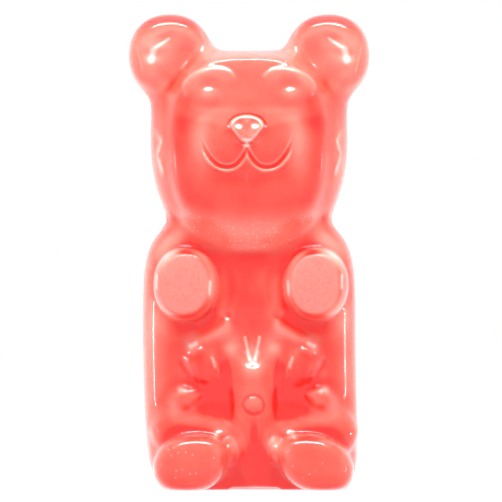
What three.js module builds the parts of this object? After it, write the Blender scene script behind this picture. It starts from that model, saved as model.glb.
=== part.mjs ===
// A moulded gummy bear in one solid piece. Millimetres, +Z up, the face looks along -Y, +X is its left hand.
// The skin is the zero level of one distance field: rounded lumps melted into each other, with a few hollows
// and grooves pressed in. A closed box grid is drawn in over the field and evened out on it.
import * as THREE from "three";
import { mergeVertices } from "three/addons/utils/BufferGeometryUtils.js";

// ---------- Lumps: centre x y z, half width, half height up and down, half depth back and front ----------
// plan is the roundness exponent seen from the front, section the one in depth, draft the mould taper,
// turn the tilt in degrees seen from the front, melt the width of the blend with what is already there.
const TORSO = {
  x: 0, y: 5, z: 33.5, wide: 28.5, up: 38, down: 37.2, back: 12, front: 14,
  plan: 5.6, section: 2.9, draft: 0.1, turn: 0, melt: 0,
};
const SKULL = {
  x: 0, y: 5, z: 95, wide: 26.3, up: 21, down: 30.4, back: 12, front: 15.2,
  plan: 2.6, section: 2.6, draft: 0.12, turn: 0, melt: 10,
};
const SEAT = {
  x: 0, y: 6, z: 15, wide: 22, up: 18, down: 20, back: 13, front: 10,
  plan: 2.4, section: 2.3, draft: 0, turn: 0, melt: 8,
};
const EAR = {
  x: 21.2, y: 4, z: 115.9, wide: 11, up: 11.1, down: 11, back: 6.6, front: 9.4,
  plan: 2.2, section: 3, draft: 0.04, turn: 0, melt: 10,
};
const FACE = {
  x: -0.2, y: -2, z: 93, wide: 21.2, up: 23.4, down: 24.5, back: 8, front: 10.6,
  plan: 2.8, section: 5, draft: 0.08, turn: 0, melt: 5,
};
const CHIN = {
  x: 0.1, y: -4, z: 79, wide: 16.5, up: 10, down: 14.4, back: 8, front: 8.2,
  plan: 2, section: 2.4, draft: 0, turn: 0, melt: 5.5,
};
const MUZZLE = {
  x: -0.5, y: -4, z: 94, wide: 16.4, up: 8.8, down: 12, back: 8, front: 10.2,
  plan: 2.5, section: 4.5, draft: 0, turn: 0, melt: 1.8,
};
const CHEEK = {
  x: 5.6, y: -8, z: 93.2, wide: 5.6, up: 6.6, down: 6.8, back: 6, front: 7.4,
  plan: 2, section: 2.2, draft: 0, turn: 0, melt: 2.4,
};
const CHEST = {
  x: 0, y: 0, z: 50, wide: 12, up: 14, down: 14, back: 8, front: 10.6,
  plan: 2.2, section: 2, draft: 0, turn: 0, melt: 8,
};
const TUMMY = {
  x: 0, y: 0, z: 27, wide: 21, up: 17, down: 20, back: 8, front: 10.6,
  plan: 2.4, section: 2.6, draft: 0, turn: 0, melt: 4,
};
const BELLY = {
  x: 0.6, y: -2, z: 19, wide: 6.4, up: 15, down: 19, back: 8, front: 10.2,
  plan: 2.5, section: 2.6, draft: 0, turn: 0, melt: 5,
};
const FLANK = {
  x: 13.4, y: -2, z: 33.4, wide: 6, up: 6.6, down: 7.4, back: 8, front: 9.8,
  plan: 2.1, section: 2.1, draft: 0, turn: -24, melt: 4.5,
};
const THIGH = {
  x: 15.2, y: -2, z: 12.8, wide: 12.8, up: 7, down: 7.6, back: 8, front: 10.8,
  plan: 2.5, section: 2.6, draft: 0, turn: 27, melt: 4,
};
const KNEE = {
  x: 18, y: -4, z: 24, wide: 4, up: 2.8, down: 3.4, back: 6, front: 7,
  plan: 2, section: 2.2, draft: 0, turn: -14, melt: 4,
};
const FOOT = {
  x: 16.4, y: -4, z: 7.7, wide: 10, up: 7.7, down: 8.3, back: 8, front: 15,
  plan: 2.3, section: 4, draft: 0, turn: 0, melt: 1.2,
};
const FOOT_SPLAY = 0.24; // sideways lean of the foot, inwards at the floor
const CROTCH_FOLD = {
  x: 6.2, y: -4, z: 10.6, wide: 2.4, up: 4.2, down: 4.2, back: 6, front: 10,
  plan: 2, section: 2.2, draft: 0, turn: 0, melt: 1.4,
};

// ---------- Arm stubs: a boss with a flat round paw, rounding out behind it ----------
const ARM = { x: 17.4, z: 54.8, wide: 6.4, high: 7.7, plan: 2.15, front: 16.8, back: 2 };
const ARM_GROW = 2.1; // how much wider the stub is behind the paw
const ARM_SLOPE = 6.5; // over this depth
const ARM_DOME = 0.3;
const ARM_EDGE = 0.9;
const ARM_MELT = 3;

// ---------- Ears, eyes and hollows: a negative depth stands proud ----------
const EAR_DISH = { x: 21.2, z: 115.9, rim: 9.2, slopeOver: 4.6, slopeDeep: 0.8 };
const EAR_BOWL = { radius: 6.2, over: 2.6, deep: 1.8, long: 0.7 };
const EAR_VALLEY = { along: -3.8, wide: 3.4, deep: 0.8, across: 16, fade: 8, end: -9.4, endOver: 6 };
const EYE = {
  x: 10.6, z: 107.9, wide: 8, up: 5.8, down: 4.6, plan: 2.1, turn: 14,
  high: 1.1, brim: 3.2, tail: 8,
};
const EYE_CREASE = { x: 11, z: 102.6, wide: 3.6, high: 1.5, deep: 0.5 };
const SIDE_PIT = { x: 9.8, z: 24.6, wide: 5, high: 4.8, deep: 3.4 };
const FEET_GAP = { x: 0, z: 4, wide: 4.6, high: 4.5, deep: 1.6 };

// ---------- Nose and mouth ----------
const FACE_SHIFT = -0.6; // the nose and mouth sit a little to the bear's right
const NOSE = { z: 96.6, wide: 4, up: 3, down: 4, plan: 2.2, narrowing: 0.15, high: 1.1, edge: 1.8 };
const NOSE_RING = { out: 1.4, wide: 1, deep: 0.4 };
const MOUTH = { z: 86, x: 5.2, innerRise: 0.118, innerPower: 2.26, outerRise: 0.077, outerPower: 2.31 };
const MOUTH_GROOVE = { wide: 1, deep: 0.65, end: 12.3, fade: 1.2, floor: 80 };
const PHILTRUM = { x: 0, z: 91, wide: 1.2, high: 1.6, deep: 0.4 };

// ---------- Belly and legs: a crown of ridges over the navel, creases and rounds on each side ----------
const BELLY_SHIFT = 0.8; // the belly's marks sit a little to the bear's left
const NAVEL = { z: 22.8, radius: 2.5, wide: 1, deep: 0.6 };
const CROWN_PRONG = { x0: 0.8, z0: 34.8, x1: 1.9, z1: 40.6, wide: 1, deep: -0.6 };
const BELLY_GROOVE = { x: 0, z: 16.4, wide: 1.2, high: 3.4, deep: 0.8 };
const TUMMY_BAND = { x0: 16, z0: 38.6, x1: 6.8, z1: 43.4, wide: 1.6, deep: -1 };
const COLUMN_SIDE = { x0: 7.2, z0: 34, x1: 6.6, z1: 19, wide: 1.2, deep: 0.8 };
const FLANK_CREASE = { x0: 18.6, z0: 34, x1: 15.4, z1: 28.4, wide: 0.9, deep: 0.45 };
const LEG_RIDGE = { x0: 21, z0: 21, x1: 12.4, z1: 18.6, wide: 1.7, deep: -0.55 };
const LEG_END = { x0: 12.4, z0: 18.6, x1: 8.2, z1: 15.6, wide: 1.5, deep: -0.6 };
const KNEE_RIDGE = { x0: 18.8, z0: 26.8, x1: 14.8, z1: 25.6, wide: 1.5, deep: -0.7 };
const CREASES = [TUMMY_BAND, COLUMN_SIDE, FLANK_CREASE, LEG_RIDGE, LEG_END, KNEE_RIDGE];

// ---------- Facets: small patches that lean up, recessed above their middle and proud below it ----------
const EYE_LID = { x: 10.9, z: 106.9, wide: 2.6, high: 2, deep: 1.7 };
const CROWN_KNOB = { x: 6.1, z: 38.2, wide: 1.8, high: 1.9, deep: 1.3 };
const CROWN = { x: 0, z: 33.6, wide: 2.6, high: 2.4, deep: 1.85 };

// ---------- Base, lean and frame ----------
const LEAN = 1.5; // the lower body stands a little to the bear's left
const LEAN_TOP = 45;
const BASE_EDGE = 1.2;
const BASE_RISE = 0.65; // the floor side is raised between the feet
const BASE_RISE_WIDE = 7.4;
const BASE_RISE_FADE = 1.6;
const FRONT_FADE = 4; // hollows pressed from the front fade out over this depth behind y = 4

// ---------- Grid ----------
const BOX = { wide: 68, deep: 42, high: 130, x: 0, y: 0, z: 64 };
const SEGMENTS = { wide: 20, deep: 8, high: 40 };
const CORE = { wide: 12, y: 5, low: 22, high: 96 };
const RAY_STEPS = 90;
const RAY_CAUTION = 0.7;
const RELAX_ROUNDS = [50, 14, 8]; // before the first split of the grid, and after each one
const SPLIT_OVER = 1.6; // a triangle is split when its longest side passes this many spacings
const NEWTON_ROUNDS = 3;
const SPACING = { face: 1, marked: 2, front: 2.6, back: 4 };
const FACE_ZONE = { wide: 13, low: 84, high: 101 }; // round the nose and mouth
const LOWER_ZONE = { wide: 22, high: 46 }; // belly and legs
const EYE_LOW = 100;
const ARM_ZONE = 16; // radius about the middle of a paw
const FADE_FRONT = -4; // the grid widens from here to y = 4
const FADE_DEEP = 8;
const HEAD_LOW = 78; // the face's marks are above this
const BELLY_HIGH = 48; // and the belly's below this
const TAP = 0.02; // finite difference step
const FLAT_BAND = 0.03;
const TINY = 1e-9;

const { abs, cos, exp, hypot, max, min, PI, sin, sqrt } = Math;
const clamp = (v, low, high) => min(max(v, low), high);

// Smooth ramp from 0 to 1.
function ramp(t) {
  const s = clamp(t, 0, 1);
  return s * s * (3 - 2 * s);
}

// Union of two fields with a rounded join of the given width.
function melt(a, b, width) {
  const h = max(width - abs(a - b), 0) / width;
  return min(a, b) - (h * h * h * width) / 6;
}

const carve = (a, b, width) => -melt(-a, -b, width);

// Distance to a rounded block: a superellipse in the front view, rounded in depth by the section exponent.
function lump(x, y, z, s) {
  const angle = (s.turn * PI) / 180;
  const dx = cos(angle) * (x - s.x) + sin(angle) * (z - s.z);
  const dz = cos(angle) * (z - s.z) - sin(angle) * (x - s.x);
  const dy = y - s.y;
  const taper = s.draft * max(-dy, 0);
  const wide = s.wide - taper;
  const high = (dz < 0 ? s.down : s.up) - taper;
  const deep = dy < 0 ? s.front : s.back;
  const u = abs(dx) / wide;
  const v = abs(dz) / high;
  const w = abs(dy) / deep;
  const ring = u ** s.plan + v ** s.plan + TINY;
  const level = (ring ** (s.section / s.plan) + w ** s.section) ** (1 / s.section) + TINY;
  const scale = level ** (1 - s.section);
  const ringScale = scale * ring ** (s.section / s.plan - 1);
  const slope = hypot(
    (ringScale * u ** (s.plan - 1)) / wide,
    (ringScale * v ** (s.plan - 1)) / high,
    (scale * w ** (s.section - 1)) / deep,
  );
  return (level - 1) / (slope + TINY);
}

// Distance in the front view to a superellipse with its own height above and below its centre.
function oval(u, v, wide, up, down, plan) {
  const high = v < 0 ? down : up;
  const p = abs(u) / wide;
  const q = abs(v) / high;
  const level = (p ** plan + q ** plan + TINY) ** (1 / plan);
  const slope = hypot((p / level) ** (plan - 1) / wide, (q / level) ** (plan - 1) / high);
  return (level - 1) / (slope + TINY);
}

// A soft round dent seen from the front.
const dent = (x, z, s) => s.deep * exp(-(((x - s.x) / s.wide) ** 2) - ((z - s.z) / s.high) ** 2);
const groove = (distance, s) => s.deep * exp(-((distance / s.wide) ** 2));

function armStub(side, y, z) {
  const grow = ARM_GROW * (1 - (1 - clamp((y + ARM.front) / ARM_SLOPE, 0, 1)) ** 2);
  const u = side - ARM.x;
  const v = z - ARM.z;
  const wall = oval(u, v, ARM.wide + grow, ARM.high + grow, ARM.high + grow, ARM.plan);
  const paw = -y - ARM.front + ARM_DOME * ((u / ARM.wide) ** 2 + (v / ARM.high) ** 2);
  return carve(carve(wall, paw, ARM_EDGE), y - ARM.back, 1);
}

// Signed distance above the mouth line: a bowl on each side of the chin, rising less steeply outside.
function mouthLine(side, z) {
  const from = side - MOUTH.x;
  const rise = from < 0 ? MOUTH.innerRise : MOUTH.outerRise;
  const power = from < 0 ? MOUTH.innerPower : MOUTH.outerPower;
  const slope = rise * power * abs(from) ** (power - 1);
  return (z - MOUTH.z - rise * abs(from) ** power) / sqrt(1 + slope * slope);
}

// Depth of a straight crease, by distance to its stretch.
function crease(x, z, s) {
  const alongX = s.x1 - s.x0;
  const alongZ = s.z1 - s.z0;
  const share = ((x - s.x0) * alongX + (z - s.z0) * alongZ) / (alongX ** 2 + alongZ ** 2);
  const on = clamp(share, 0, 1);
  return groove(hypot(x - s.x0 - on * alongX, z - s.z0 - on * alongZ), s);
}

// Depth of a small patch that leans up, fading all round as a bell curve.
const facet = (x, z, s) => dent(x, z, s) * ((z - s.z) / s.high);

const sum = (list, depth) => list.reduce((total, s) => total + depth(s), 0);

// A raised nose narrowing downwards in a ring groove, the mouth's groove and the dent that joins them.
function noseAndMouth(x, z) {
  const u = x - FACE_SHIFT;
  const v = z - NOSE.z;
  const narrow = 1 + NOSE.narrowing * clamp(-v, -0.4, NOSE.up);
  const rim = oval(u * narrow, v, NOSE.wide, NOSE.up, NOSE.down, NOSE.plan);
  const lip = ramp((MOUTH_GROOVE.end - abs(u)) / MOUTH_GROOVE.fade) * ramp((z - MOUTH_GROOVE.floor) / 2);
  return (
    groove(rim - NOSE_RING.out, NOSE_RING) -
    NOSE.high * ramp(0.5 - rim / NOSE.edge) +
    lip * groove(mouthLine(abs(u), z), MOUTH_GROOVE) +
    dent(u, z, PHILTRUM)
  );
}

// Raised closed lids: steep along the top of a tilted oval, sloping away below, with a crease under them.
function eyes(side, z) {
  const angle = (EYE.turn * PI) / 180;
  const u = side - EYE.x;
  const v = z - EYE.z;
  const across = cos(angle) * u - sin(angle) * v;
  const upward = sin(angle) * u + cos(angle) * v;
  const rim = oval(across, upward, EYE.wide, EYE.up, EYE.down, EYE.plan);
  const lid = ramp(-rim / EYE.brim) * ramp((upward + EYE.down) / EYE.tail);
  return dent(side, z, EYE_CREASE) + facet(side, z, EYE_LID) - EYE.high * lid;
}

// Scooped ears: a gentle slope inside the rim, a bowl within it, and a valley where they meet the head.
function earDishes(side, z) {
  const u = side - EAR_DISH.x;
  const v = z - EAR_DISH.z;
  const out = (u + v) / sqrt(2);
  const across = (u - v) / sqrt(2);
  const radius = hypot(max(out, 0), across);
  const bowl = hypot(max(out, 0), across * EAR_BOWL.long);
  const scoop =
    EAR_DISH.slopeDeep * ramp((EAR_DISH.rim - radius) / EAR_DISH.slopeOver) +
    EAR_BOWL.deep * ramp((EAR_BOWL.radius - bowl) / EAR_BOWL.over);
  const valley =
    EAR_VALLEY.deep *
    exp(-(((out - EAR_VALLEY.along) / EAR_VALLEY.wide) ** 2)) *
    ramp((EAR_VALLEY.across - abs(across)) / EAR_VALLEY.fade);
  return (scoop + valley) * ramp((out - EAR_VALLEY.end) / EAR_VALLEY.endOver);
}

// The belly's ridges, knobs and creases, the navel's ring and the hollow between the feet.
function bellyFront(x, z) {
  const side = abs(x);
  const u = x - BELLY_SHIFT;
  return (
    facet(u, z, CROWN) +
    facet(abs(u), z, CROWN_KNOB) +
    sum(CREASES, (s) => crease(side, z, s)) +
    crease(abs(u), z, CROWN_PRONG) +
    groove(hypot(u, z - NAVEL.z) - NAVEL.radius, NAVEL) +
    dent(u, z, BELLY_GROOVE) +
    dent(side, z, SIDE_PIT) +
    dent(x, z, FEET_GAP)
  );
}

// Depth of everything pressed into the front, by place in the front view.
function pressed(x, z) {
  const side = abs(x);
  if (z > HEAD_LOW) return eyes(side, z) + earDishes(side, z) + noseAndMouth(x, z);
  return z < BELLY_HIGH ? bellyFront(x, z) : 0;
}

// The bear's field: negative inside, about the distance in millimetres near the skin.
function bear(px, y, z) {
  const x = px - LEAN * clamp((LEAN_TOP - z) / LEAN_TOP, 0, 1) ** 2;
  const side = abs(x);
  const cheekSide = abs(x - FACE_SHIFT);
  let field = lump(x, y, z, TORSO);
  for (const part of [SKULL, SEAT]) field = melt(field, lump(x, y, z, part), part.melt);
  field = melt(field, lump(side, y, z, EAR), EAR.melt);
  for (const part of [FACE, CHIN, MUZZLE]) field = melt(field, lump(x, y, z, part), part.melt);
  field = melt(field, lump(cheekSide, y, z, CHEEK), CHEEK.melt);
  for (const part of [CHEST, TUMMY, BELLY]) field = melt(field, lump(x, y, z, part), part.melt);
  for (const part of [FLANK, THIGH, KNEE]) field = melt(field, lump(side, y, z, part), part.melt);
  field = melt(field, armStub(side, y, z), ARM_MELT);
  field += ramp((FRONT_FADE - y) / FRONT_FADE) * pressed(x, z);
  field = melt(field, lump(side + FOOT_SPLAY * (z - FOOT.z), y, z, FOOT), FOOT.melt);
  field = melt(field, lump(side, y, z, CROTCH_FOLD), CROTCH_FOLD.melt);
  const rise = BASE_RISE * ramp((BASE_RISE_WIDE - side) / BASE_RISE_FADE) * ramp(-y / FRONT_FADE);
  return carve(field, rise - z, BASE_EDGE);
}

// Moves a point onto the skin along the field's steepest slope.
function settle(p) {
  for (let round = 0; round < NEWTON_ROUNDS; round++) {
    const here = bear(p.x, p.y, p.z);
    const gx = (bear(p.x + TAP, p.y, p.z) - here) / TAP;
    const gy = (bear(p.x, p.y + TAP, p.z) - here) / TAP;
    const gz = (bear(p.x, p.y, p.z + TAP) - here) / TAP;
    const pull = here / (gx * gx + gy * gy + gz * gz + TINY);
    p.set(p.x - pull * gx, p.y - pull * gy, p.z - pull * gz);
  }
}

// Walks from the box inwards, towards a core bar inside the bear, until the skin is met.
function drawIn(p) {
  const core = new THREE.Vector3(
    clamp(p.x, -CORE.wide, CORE.wide),
    CORE.y,
    clamp(p.z, CORE.low, CORE.high),
  );
  const way = core.sub(p);
  const reach = way.length();
  way.normalize();
  let gone = 0;
  for (let step = 0; step < RAY_STEPS; step++) {
    gone += RAY_CAUTION * clamp(bear(p.x + way.x * gone, p.y + way.y * gone, p.z + way.z * gone), -2, 4);
    gone = min(gone, reach);
  }
  p.addScaledVector(way, gone);
}

// Wanted grid spacing: fine round the nose and mouth, fair over the other marks, wide on the back.
function spacing(p) {
  const side = abs(p.x);
  const marked =
    p.z > EYE_LOW ||
    (p.z < LOWER_ZONE.high && side < LOWER_ZONE.wide) ||
    hypot(side - ARM.x, p.z - ARM.z) < ARM_ZONE;
  const face = abs(p.x - FACE_SHIFT) < FACE_ZONE.wide && p.z > FACE_ZONE.low && p.z < FACE_ZONE.high;
  const front = face ? SPACING.face : marked ? SPACING.marked : SPACING.front;
  return front + (SPACING.back - front) * ramp((p.y - FADE_FRONT) / FADE_DEEP);
}

// Splits triangles whose longest side is too long into four, and their neighbours into two or three to fit.
function split(points, triangles) {
  const count = points.length;
  const middles = new Map();
  const key = (a, b) => min(a, b) * count + max(a, b);
  const sides = ([a, b, c]) => [[a, b], [b, c], [c, a]];
  for (const triangle of triangles) {
    const middle = new THREE.Vector3();
    for (const i of triangle) middle.addScaledVector(points[i], 1 / 3);
    const longest = max(...sides(triangle).map(([a, b]) => points[a].distanceTo(points[b])));
    if (longest < SPLIT_OVER * spacing(middle)) continue;
    for (const [a, b] of sides(triangle)) {
      if (middles.has(key(a, b))) continue;
      middles.set(key(a, b), points.length);
      points.push(points[a].clone().lerp(points[b], 0.5));
    }
  }
  return triangles.flatMap((triangle) => {
    const cuts = sides(triangle).map(([a, b]) => middles.get(key(a, b)));
    const whole = cuts.findIndex((i) => i === undefined);
    const cut = cuts.findIndex((i) => i !== undefined);
    const number = cuts.filter((i) => i !== undefined).length;
    const turn = number === 1 ? cut : whole + 1;
    const [a, b, c] = [0, 1, 2].map((i) => triangle[(i + turn) % 3]);
    const [d, e, f] = [0, 1, 2].map((i) => cuts[(i + turn) % 3]);
    if (number === 0) return [triangle];
    if (number === 1) return [[a, d, c], [d, b, c]];
    if (number === 2) return [[d, b, e], [a, d, e], [a, e, c]];
    return [[a, d, f], [d, b, e], [f, e, c], [d, e, f]];
  });
}

// Neighbours of every point of the grid.
function neighbours(triangles, count) {
  const around = Array.from({ length: count }, () => new Set());
  for (const [a, b, c] of triangles) {
    around[a].add(b).add(c);
    around[b].add(a).add(c);
    around[c].add(a).add(b);
  }
  return around.map((set) => [...set]);
}

// Evens out the grid on the skin: every point goes to the weighted middle of its neighbours, then back on.
function relax(points, around) {
  const weights = points.map((p) => 1 / spacing(p));
  const middles = points.map((p, i) => {
    const middle = new THREE.Vector3();
    let total = 0;
    for (const j of around[i]) {
      middle.addScaledVector(points[j], weights[j]);
      total += weights[j];
    }
    return middle.divideScalar(total).lerp(p, 0.35);
  });
  middles.forEach((middle, i) => points[i].copy(middle));
  points.forEach(settle);
}

function bearGeometry() {
  const box = new THREE.BoxGeometry(
    BOX.wide, BOX.deep, BOX.high,
    SEGMENTS.wide, SEGMENTS.deep, SEGMENTS.high,
  );
  box.translate(BOX.x, BOX.y, BOX.z);
  box.deleteAttribute("normal");
  box.deleteAttribute("uv");
  const shell = mergeVertices(box, 1e-3);
  const place = shell.getAttribute("position");
  const points = [];
  for (let i = 0; i < place.count; i++) points.push(new THREE.Vector3().fromBufferAttribute(place, i));
  let triangles = [];
  for (let i = 0; i < shell.index.count; i += 3) triangles.push([...shell.index.array.slice(i, i + 3)]);
  points.forEach(drawIn);
  points.forEach(settle);
  for (const [level, rounds] of RELAX_ROUNDS.entries()) {
    if (level > 0) triangles = split(points, triangles);
    const around = neighbours(triangles, points.length);
    for (let round = 0; round < rounds; round++) relax(points, around);
  }
  points.forEach(settle);
  for (const p of points) p.z = abs(p.z) < FLAT_BAND ? 0 : p.z;
  const geometry = new THREE.BufferGeometry().setFromPoints(points);
  geometry.setIndex(triangles.flat());
  geometry.computeBoundingBox();
  const middle = geometry.boundingBox.getCenter(new THREE.Vector3());
  geometry.translate(-middle.x, -middle.y, -geometry.boundingBox.min.z);
  geometry.computeVertexNormals();
  return geometry;
}

const jelly = new THREE.MeshStandardMaterial({ color: 0xff6258, roughness: 0.22, metalness: 0 });
const body = new THREE.Mesh(bearGeometry(), jelly);
body.name = "bear";

const root = new THREE.Group();
root.name = "gummy_bear";
root.add(body);

export default root;
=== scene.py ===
"""A moulded gummy bear: one piece of glossy coral jelly with round dished ears, a snout, stub arms and flat
soles.

The skin is the zero level of a distance field, rounded lumps melted into each other with hollows and grooves
pressed in. A closed grid is drawn in over it. Shape sizes are in millimetres, +Z up, the face towards -Y.
"""

import bpy
import numpy as np
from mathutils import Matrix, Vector


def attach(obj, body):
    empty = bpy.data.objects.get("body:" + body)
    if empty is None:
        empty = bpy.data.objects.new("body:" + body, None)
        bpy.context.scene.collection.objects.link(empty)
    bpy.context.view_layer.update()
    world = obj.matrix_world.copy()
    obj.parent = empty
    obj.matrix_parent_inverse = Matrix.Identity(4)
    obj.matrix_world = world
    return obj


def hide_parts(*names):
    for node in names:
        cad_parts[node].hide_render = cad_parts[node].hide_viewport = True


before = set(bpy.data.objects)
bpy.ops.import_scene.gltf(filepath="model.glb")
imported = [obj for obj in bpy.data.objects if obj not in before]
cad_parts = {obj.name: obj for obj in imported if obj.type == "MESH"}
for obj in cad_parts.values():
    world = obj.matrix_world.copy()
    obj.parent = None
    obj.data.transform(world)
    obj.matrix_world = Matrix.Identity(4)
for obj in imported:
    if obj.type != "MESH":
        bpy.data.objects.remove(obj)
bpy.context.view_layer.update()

MM = 0.001
TINY = 1e-9
MELT_MARGIN = 5


def form(x, y, z, wide, up, down, back, front, plan=2.0, section=2.2, draft=0.0, turn=0.0, melt=3.0):
    """Names the sizes of one lump: centre, half width, half heights, half depths, roundness and blend."""
    return dict(
        x=x, y=y, z=z, wide=wide, up=up, down=down, back=back, front=front,
        plan=plan, section=section, draft=draft, turn=turn, melt=melt,
    )


def patch(x, z, wide, high, deep, turn=0, lean=0):
    """Names the sizes of one facet: middle, half sizes, depth, turn of its outline and way it leans."""
    return dict(x=x, z=z, wide=wide, high=high, deep=deep, turn=turn, lean=lean)


# ---------- Lumps ----------
TORSO = form(0, 5, 33.5, 28.5, 38, 37.2, 12, 14, plan=5.6, section=2.9, draft=0.1)
SKULL = form(0, 5, 95, 26.3, 21, 30.4, 12, 15.2, plan=2.6, section=2.6, draft=0.12, melt=10)
SEAT = form(0, 6, 15, 22, 18, 20, 13, 10, plan=2.4, section=2.3, melt=8)
EAR = form(21.2, 4, 115.9, 11, 11.1, 11, 6.6, 9.4, plan=2.2, section=3.0, draft=0.04, melt=10)
FACE = form(-0.2, -2, 93, 21.2, 23.4, 24.5, 8, 10.6, plan=2.8, section=5, draft=0.08, melt=7)
BROW = form(-0.2, -2, 103, 17, 13.2, 4.5, 8, 10.45, plan=2.8, section=12, draft=0.08, melt=2.5)
MUZZLE = form(-0.5, -4, 94.0, 16.4, 8.8, 12, 8, 10.2, plan=2.5, section=4.5, melt=1.8)
CHIN = form(0.1, -4, 79, 16.5, 10, 14.4, 8, 8.2, plan=2.0, section=2.4, melt=5.5)
CHEEK = form(5.6, -8, 93.2, 5.6, 6.6, 6.8, 6, 7.4, melt=2.4)
CHEST = form(0, 0, 50, 12, 14, 14, 8, 10.6, plan=2.2, section=2.0, melt=8)
TUMMY = form(0, 0, 27, 21, 17, 20, 8, 10.6, plan=2.4, section=2.6, melt=4)
BELLY = form(0.6, -2, 19, 6.4, 15, 19, 8, 10.2, plan=2.5, section=2.6, melt=5)
FLANK = form(13.4, -2, 33.4, 6.0, 6.6, 7.4, 8, 9.8, plan=2.1, section=2.1, turn=-24, melt=4.5)
THIGH = form(15.2, -2, 12.8, 12.8, 7, 7.6, 8, 8.8, plan=2.5, section=2.6, turn=27, melt=4)
KNEE = form(18.0, -4, 24.0, 4.0, 2.8, 3.4, 6, 7.0, turn=-14, melt=4)
FOOT = form(16.4, -4, 7.7, 10.0, 7.7, 8.3, 8, 15, plan=2.3, section=4.0, melt=0.8)
FOOT_SPLAY = 0.24
CROTCH_FOLD = form(6.2, -4, 10.6, 2.4, 4.2, 4.2, 6, 10, melt=1.4)

# ---------- Arm stubs ----------
ARM = dict(x=17.4, z=54.8, wide=6.4, high=7.7, plan=2.15, front=16.8, back=2)
ARM_GROW = 2.1
ARM_SLOPE = 6.5
ARM_DOME = 0.3
ARM_EDGE = 0.7
ARM_MELT = 0.9
ARM_BACK_EDGE = 1
ARM_SHIFT = 0.5

# ---------- Hollows and grooves ----------
EYE = dict(x=10.6, z=107.9, wide=8.0, up=5.2, down=4.6, plan=2.1, turn=14, high=0.8, brim=1.8, tail=8)
EYE_CREASE = dict(x=11.0, z=102.6, wide=3.6, high=1.5, deep=0.5)
EAR_DISH = dict(
    x=21.2, z=115.9, rim=9.2, slope_over=4.6, slope_deep=0.6,
    bowl=6.4, bowl_over=3.6, bowl_deep=1.1, long=0.7,
)
EAR_VALLEY = dict(along=-3.8, wide=3.4, deep=0.8, across=16, fade=8, end=-9.4, end_over=6)
HEAD_CURL = dict(x0=23.4, z0=92.6, x1=24.4, z1=89.6, wide=0.5, deep=-0.5)
HEAD_CURL_LOW = dict(x0=24.2, z0=88.4, x1=23.0, z1=84.6, wide=0.6, deep=-0.5)
HEAD_CURL_TOP = dict(x0=24.6, z0=95.4, x1=23.3, z1=93.2, wide=0.5, deep=-0.4)
HEAD_CREASES = (HEAD_CURL_TOP, HEAD_CURL, HEAD_CURL_LOW)
NECK_DIMPLE = patch(19.9, 71.9, 1.4, 1.3, 0.8, turn=-57, lean=-57)
SIDE_PIT = dict(x=9.8, z=23.8, wide=5.0, high=4.8, deep=2.1)
FEET_GAP = dict(x=0, z=4, wide=4.6, high=4.5, deep=1.6)
BELLY_GROOVE = dict(x=0.8, z=16.4, wide=1.2, high=3.4, deep=0.8)
PHILTRUM = patch(0, 92.0, 1.5, 1.7, 1.6)
FACE_SHIFT = -0.6
BELLY_SHIFT = 0.8
BELLY_SHIFT_FADE = 6
BELLY_TOP = 48
NECK_LOW = 60
HEAD_LOW = 78
NOSE = dict(z=96.6, wide=3.9, up=2.9, down=3.6, plan=2.2, narrowing=0.21)
NOSE_HIGH = 1.1
NOSE_STEEP = 0.8
NOSE_NARROW_FROM = -0.4
NOSE_BEAD = dict(out=-0.2, wide=0.3, deep=-0.35)
NOSE_SIDE = patch(2.0, 96.8, 1.5, 2.0, 1.2)
NOSE_RING = dict(out=0.5, wide=0.3, deep=0.42)
MOUTH = dict(z=86.0, x=5.2, inner_rise=0.118, inner_power=2.26, outer_rise=0.077, outer_power=2.31)
MOUTH_GROOVE = dict(wide=0.5, deep=0.48, end=12.3, fade=1.2, floor=80, floor_fade=2)
MOUTH_LIP = dict(out=-1.0, wide=0.45, deep=-0.4)
NAVEL = dict(z=22.8, radius=2.5, wide=0.5, deep=0.6)
NAVEL_KNOB = dict(x=0, z=22.8, wide=1.1, high=1.1, deep=-0.35)
CROWN = patch(0, 33.6, 2.6, 2.6, 2.1)
CROWN_PRONG = dict(x0=0.8, z0=34.8, x1=1.9, z1=40.6, wide=0.6, deep=-0.7)
CROWN_KNOB = patch(6.1, 38.2, 2.4, 2.6, 1.1)
TUMMY_BAND = dict(x0=16.0, z0=38.6, x1=6.8, z1=43.4, wide=1.6, deep=-1.0)
FLANK_TOP = patch(15.2, 38.2, 2.2, 1.5, 1.2, turn=10)
COLUMN_SIDE = dict(x0=7.2, z0=34, x1=6.6, z1=19, wide=1.2, deep=0.8)
FLANK_CREASE = dict(x0=18.6, z0=34, x1=15.4, z1=28.4, wide=0.9, deep=0.45)
FLANK_EDGE = dict(x0=9.9, z0=34.4, x1=9.0, z1=31.6, wide=0.45, deep=-0.4)
LEG_RIDGE = dict(x0=21, z0=21, x1=12.4, z1=18.6, wide=1.9, deep=-0.2)
LEG_END = dict(x0=12.4, z0=18.6, x1=9.4, z1=16.2, wide=1.6, deep=-0.3)
KNEE_RIDGE = dict(x0=18.8, z0=26.8, x1=14.8, z1=25.6, wide=1.5, deep=-0.7)
CHIN_LINE = dict(x0=0, z0=82.5, x1=0, z1=88.5, wide=0.4, deep=-0.15)
CREASES = (FLANK_CREASE, FLANK_EDGE, TUMMY_BAND, LEG_RIDGE, LEG_END, KNEE_RIDGE, COLUMN_SIDE)

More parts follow.
